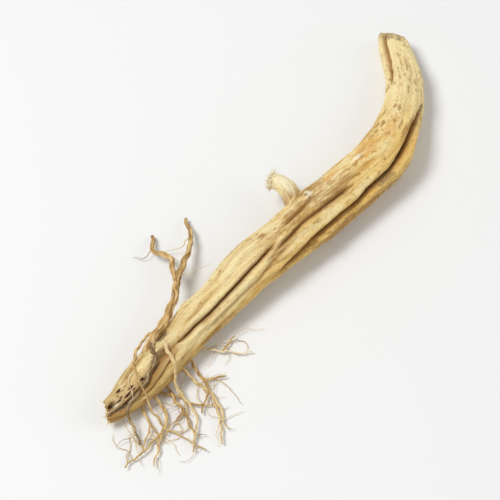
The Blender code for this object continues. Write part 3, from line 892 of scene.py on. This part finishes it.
class Sheet:  # the node sheet of one material
    def __init__(self, name):
        self.material = bpy.data.materials.new(name)
        self.material.use_nodes = True
        self.tree = self.material.node_tree
        self.shader = self.tree.nodes["Principled BSDF"]

    def add(self, kind, settings, sockets, output=0):
        node = self.tree.nodes.new(kind)
        for name, value in settings.items():
            setattr(node, name, value)
        self.fill(node, sockets)
        return Field(self, node.outputs[output])

    def fill(self, node, sockets):
        for name, value in sockets.items():
            if isinstance(value, Field):
                self.tree.links.new(value.socket, node.inputs[name])
            else:
                node.inputs[name].default_value = value

    def sum(self, operation, first, second):
        return self.add("ShaderNodeMath", {"operation": operation}, {0: first, 1: second})

    def mask(self, name, output="Fac"):
        return self.add("ShaderNodeAttribute", {"attribute_name": name}, {}, output)

    def cloud(self, grain, along, across, detail, rough):  # repeats per metre along the grain and across it
        scales = {0: grain, 1: (along, across, across)}
        stretched = self.add("ShaderNodeVectorMath", {"operation": "MULTIPLY"}, scales)
        sockets = {"Vector": stretched, "Scale": 1, "Detail": detail, "Roughness": rough}
        return self.add("ShaderNodeTexNoise", {}, sockets)

    def between(self, value, low, high):  # 0 below low, 1 above high
        sockets = {"Value": value, "From Min": low, "From Max": high}
        return self.add("ShaderNodeMapRange", {"interpolation_type": "SMOOTHSTEP"}, sockets)

    def mix(self, share, first, second):
        settings = {"data_type": "RGBA", "clamp_factor": True}
        return self.add("ShaderNodeMix", settings, {0: share, 6: first, 7: second}, 2)

    def relief(self, height, distance, strength):
        sockets = {"Height": height, "Distance": distance, "Strength": strength}
        return self.add("ShaderNodeBump", {}, sockets)


bark = dict(
    masks="furrow crease pore height cork soil wash blush pale cut warm cream".split(),
    cream=tone(243, 222, 164), straw=tone(240, 210, 134), gold=tone(228, 190, 108),
    ochre=tone(205, 157, 76), blush=tone(225, 168, 86), wash=tone(165, 120, 60),
    paleTail=tone(242, 225, 172), bleachedAndHighlight=tone(245, 236, 206), dull=tone(190, 160, 98),
    # furrow and deep are painted shade in the furrows and their clefts; hole is painted shade in the deep
    # pits
    crown=tone(246, 229, 176), furrow=tone(158, 110, 50), deep=tone(88, 54, 24),
    pore=tone(158, 110, 54), hole=tone(46, 32, 20), cork=tone(164, 136, 94), corkDark=tone(112, 88, 60),
    soil=tone(150, 124, 84), soilDark=tone(70, 54, 36), cut=tone(214, 182, 126), cutDark=tone(112, 80, 44),
    roughness=(0.6, 0.85), shine={"Specular IOR Level": 0.35},
    # repeats per metre along the grain and across it, detail, roughness
    clouds=dict(
        broad=(45, 130, 2, 0.55), blotch=(130, 300, 5, 0.62), mottle=(480, 900, 4, 0.6),
        streak=(95, 1300, 4, 0.6), thread=(300, 4200, 3, 0.6), strand=(60, 2300, 3, 0.6),
        speckle=(1700, 2600, 2, 0.5),
    ),
    # metres along the root between which the colours change
    tail=(0.035, 0.085), tailEnd=(0.01, 0.034), crownEnd=(0.094, 0.112),
    bumps=(0.16 * mm, 0.8),
)


def barkMaterial():
    sheet = Sheet("dried_bark")
    grain = sheet.mask("grain", "Vector")
    furrow, crease, pore, height, cork, soil, wash, blush, pale, cut, warm, cream = (
        sheet.mask(name) for name in bark["masks"]
    )
    broad, blotch, mottle, streak, thread, strand, speckle = (
        sheet.cloud(grain, *cloud) for cloud in bark["clouds"].values()
    )
    between = sheet.between
    along = sheet.add("ShaderNodeSeparateXYZ", {}, {0: grain}, "X")
    tail, tailEnd = 1 - between(along, *bark["tail"]), 1 - between(along, *bark["tailEnd"])
    crown = between(along, *bark["crownEnd"])

    rusty = between(blush + 1.6 * (mottle - 0.5) + 0.8 * (blotch - 0.5), 0.3, 1.1)
    creamy = between(cream + 0.9 * (strand - 0.5), 0.15, 0.9)
    washAndShadeShare = between(0.8 * wash + 1.6 * (strand - 0.5) + 0.7 * (streak - 0.5), 0.1, 1.1)
    furrowShade = furrow + 0.5 * (streak - 0.5) + 0.3 * (strand - 0.5)
    ragged = streak - 0.5 + 1.2 * (mottle - 0.5)
    paints = dict(bark)
    for name, specks, low, high in (
        ("cork", 0.5 * mottle, 0.68, 0.9),
        ("soil", 0.4 * mottle, 0.66, 0.84),
        ("cut", 0.5 * height, 0.5, 0.66),
    ):
        paints[name] = sheet.mix(between(speckle + specks, low, high), bark[name], bark[name + "Dark"])

    colour = sheet.mix(between(broad, 0.4, 0.6), bark["straw"], bark["cream"])
    for share, name in (  # each lies over those before it
        (tail * 0.85, "paleTail"),
        # painted shade: the near flank and underside turn golden
        (warm * between(broad + 0.5 * blotch, 0.35, 0.8), "gold"),
        (between(blotch, 0.46, 0.66) * (0.75 - 0.45 * tail), "gold"),
        (rusty * 0.65, "blush"),
        (between(mottle, 0.52, 0.72) * (0.6 - 0.35 * tail), "ochre"),
        (between(mottle, 0.46, 0.3) * 0.25, "cream"),
        (between(streak, 0.52, 0.75) * 0.3, "bleachedAndHighlight"),
        (between(streak, 0.45, 0.26) * 0.35, "ochre"),
        (between(thread, 0.42, 0.26) * 0.3, "wash"),
        (tailEnd * (0.4 + 0.45 * between(blotch, 0.4, 0.6)), "dull"),
        (crown * 0.75, "crown"),
        (creamy * 0.85, "cream"),
        # painted highlight on raised relief, and painted shade on low relief
        (between(height, 0.1, 0.5) * 0.3, "bleachedAndHighlight"),
        (between(height, -0.1, -0.7) * 0.35, "ochre"),
        # brown stains, and painted shade on the near rib
        (washAndShadeShare * 0.92, "wash"),
        # painted shade in the narrow creases
        (between(crease, 0.2, 1) * 0.6, "wash"),
        # painted shade: brown in the furrows, darkest in their clefts
        (between(furrowShade, 0.05, 0.7) * 0.8, "furrow"),
        (between(furrowShade, 0.7, 1.3) * 0.9, "deep"),
        (between(speckle + 0.3 * mottle, 0.73, 0.86) * 0.5, "wash"),
        (between(pore, 0.15, 1) * 0.8, "pore"),
        (between(cork + ragged, 0.35, 0.95) * 0.65, "cork"),
        (between(soil + ragged, 0.25, 0.9) * 0.75, "soil"),
        (cut, "cut"),
        # painted shade: near black in the deep pits
        (between(furrow, 1.3, 1.7), "hole"),
        (pale * between(streak, 0.3, 0.5), "bleachedAndHighlight"),
    ):
        colour = sheet.mix(share, colour, paints[name])

    low, high = bark["roughness"]
    roughness = low + (high - low) * between(streak + 0.4 * furrow, 0.3, 0.8)
    normal = sheet.relief(0.5 * streak + 0.4 * thread + 0.6 * mottle + 0.4 * speckle, *bark["bumps"])
    sheet.fill(sheet.shader, {"Base Color": colour, "Roughness": roughness, "Normal": normal})
    sheet.fill(sheet.shader, bark["shine"])
    return sheet.material


skin = dict(
    brown=tone(166, 124, 68), tan=tone(206, 168, 104), straw=tone(234, 208, 152), pale=tone(246, 237, 212),
    dark=tone(120, 86, 46), earthy=tone(136, 114, 82),
    shine={"Roughness": 0.72, "Specular IOR Level": 0.3},
    streak=(240, 2600, 4, 0.6), blotch=(420, 800, 4, 0.6), bumps=(0.14 * mm, 0.8),
)


def skinMaterial():
    sheet = Sheet("rootlet_skin")
    grain = sheet.mask("grain", "Vector")
    tint, height = sheet.mask("tint"), sheet.mask("height")
    streak, blotch = sheet.cloud(grain, *skin["streak"]), sheet.cloud(grain, *skin["blotch"])
    between = sheet.between
    browner = 0.6 - 0.4 * tint

    def spotted(amount, low, high):  # by tint, with ragged edges
        return between(tint + amount * (blotch - 0.5), low, high)

    colour = sheet.mix(spotted(0.9, 0, 0.45), skin["brown"], skin["tan"])
    for share, name in (
        (spotted(1.1, 0.3, 0.8), "straw"),
        (spotted(0.3, 0.85, 1), "pale"),
        (spotted(0.5, -0.4, -0.8), "earthy"),
        # painted highlight on raised lumps and ridges, and painted shade in the hollows between them
        (between(height, 0, 0.4) * 0.6, "straw"),
        (between(height, -0.05, -0.4) * browner, "dark"),
        (between(streak, 0.45, 0.3) * browner, "dark"),
        (between(streak, 0.55, 0.75) * 0.5, "pale"),
    ):
        colour = sheet.mix(share, colour, skin[name])
    normal = sheet.relief(streak + 0.6 * blotch, *skin["bumps"])
    sheet.fill(sheet.shader, {"Base Color": colour, "Normal": normal, **skin["shine"]})
    return sheet.material


ground = dict(
    reach=1.5, height=-0.05 * mm,
    shine={"Base Color": tone(240, 241, 240), "Roughness": 0.9, "Specular IOR Level": 0.1},
)


def lyingFloor():
    mesh = bpy.data.meshes.new("floor")
    reach, height = ground["reach"], ground["height"]
    corners = [(reach * x, reach * y, height) for x, y in ((-1, -1), (1, -1), (1, 1), (-1, 1))]
    mesh.from_pydata(corners, [], [(0, 1, 2, 3)])
    sheet = Sheet("pale_floor")
    sheet.fill(sheet.shader, ground["shine"])
    mesh.materials.append(sheet.material)
    made = placed("floor", mesh)


studio = dict(
    # place, size and power of each soft light
    lights=(
        ("key_light", (-0.34, 0.32, 0.85), 0.35, 5.9),
        ("fill_light", (0.5, -0.65, 0.5), 0.7, 1.8),
    ),
    daylight=0.43,
)


def addStudio():
    for name, place, size, power in studio["lights"]:
        light = bpy.data.lights.new(name, "AREA")
        light.size, light.energy = size, power
        placed(name, light, place, Vector(place))
    world = bpy.data.worlds.new("daylight")
    world.use_nodes = True
    background = world.node_tree.nodes["Background"]
    background.inputs["Color"].default_value = (1, 1, 1, 1)
    background.inputs["Strength"].default_value = studio["daylight"]
    bpy.context.scene.world = world
    bpy.context.scene.view_settings.view_transform = "Standard"


def addCamera():
    azimuth, elevation = math.radians(look["azimuth"]), math.radians(look["elevation"])
    level = math.cos(elevation)
    back = Vector((math.sin(azimuth) * level, -math.cos(azimuth) * level, math.sin(elevation)))
    camera = bpy.data.cameras.new("camera")
    camera.sensor_width = look["sensor"]
    camera.lens = look["closer"] * look["sensor"] * look["distance"] / (look["pixels"] * look["pixel"])
    place = Vector(look["middle"]) + back * look["distance"]
    bpy.context.scene.camera = placed("camera", camera, place, back)


root = TapRoot()
barkFinish = barkMaterial()
skinFinish = skinMaterial()
draw = random.Random(rootlets["seed"])
tapRootPiece(root, barkFinish)
stubPath, stubRadii = stubPiece(draw, barkFinish)
sidePaths = sideRootPiece(skinFinish)
rootletPaths = rootletPiece(root, draw, skinFinish)
hairPiece(rootletPaths + sidePaths, skinFinish)
fibrePiece(root, stubPath, stubRadii, skinFinish)
lyingFloor()
addStudio()
addCamera()
